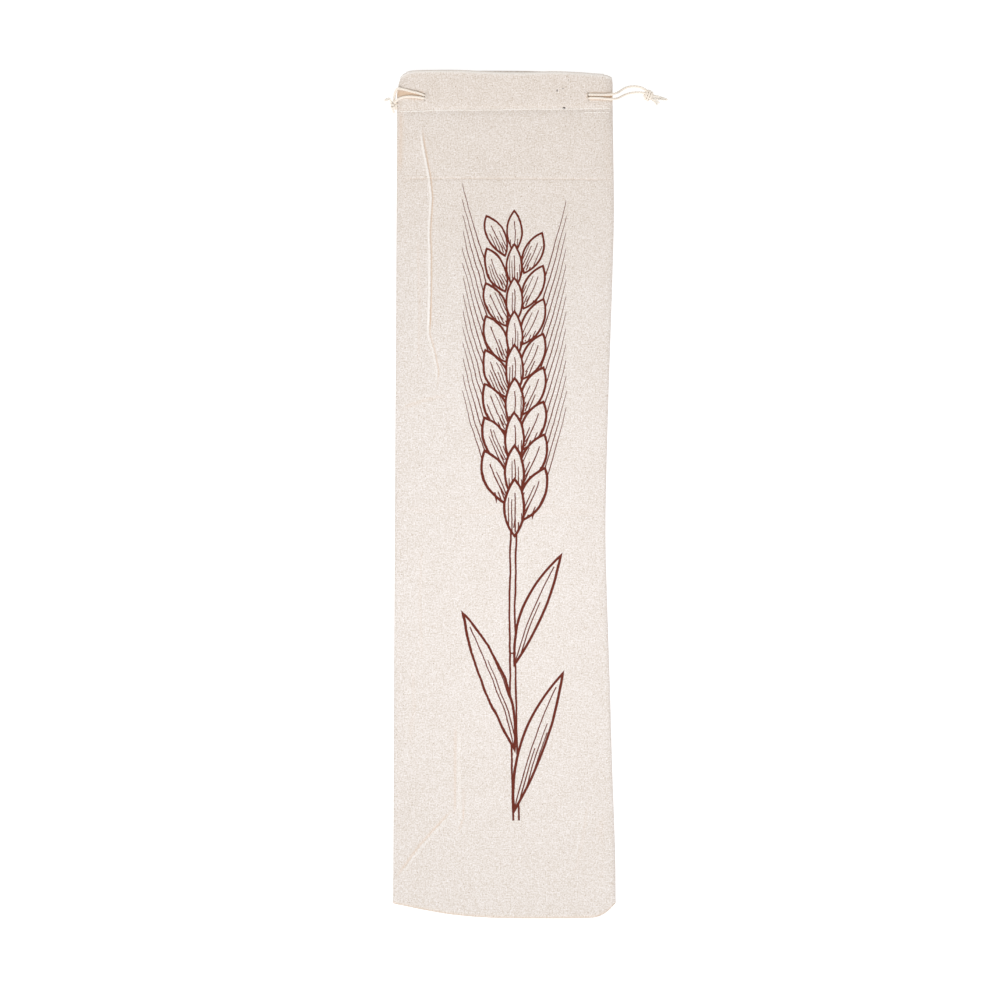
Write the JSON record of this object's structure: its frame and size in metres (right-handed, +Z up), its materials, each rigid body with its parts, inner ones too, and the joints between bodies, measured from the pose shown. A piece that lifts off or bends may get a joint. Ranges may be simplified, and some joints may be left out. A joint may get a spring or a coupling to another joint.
{
  "type": "drawstring bread bag",
  "caption": "Long flat bag of natural linen for a loaf, lying empty with its mouth slightly parted; two drawstrings run in its stitched casing and knot beside it",
  "frame": {"origin": "under the middle of the bag, on the surface it lies on", "axes": "+X across the bag to its right, +Y along the bag from its bottom seam to its mouth, +Z up off the surface"},
  "size_m": [0.2155, 0.64, 0.015],
  "materials": {
    "linen_front": "natural linen, plain weave",
    "linen_back": "natural linen, plain weave",
    "cord": "cream cotton, twisted"
  },
  "bodies": {
    "root": {"front_panel": "linen_front", "back_panel": "linen_back", "right_drawstring": "cord", "left_drawstring": "cord", "right_knot": "cord", "left_knot": "cord", "right_tail_long": "cord", "right_tail_short": "cord", "left_tail_long": "cord", "left_tail_short": "cord"}
  },
  "joints": []
}
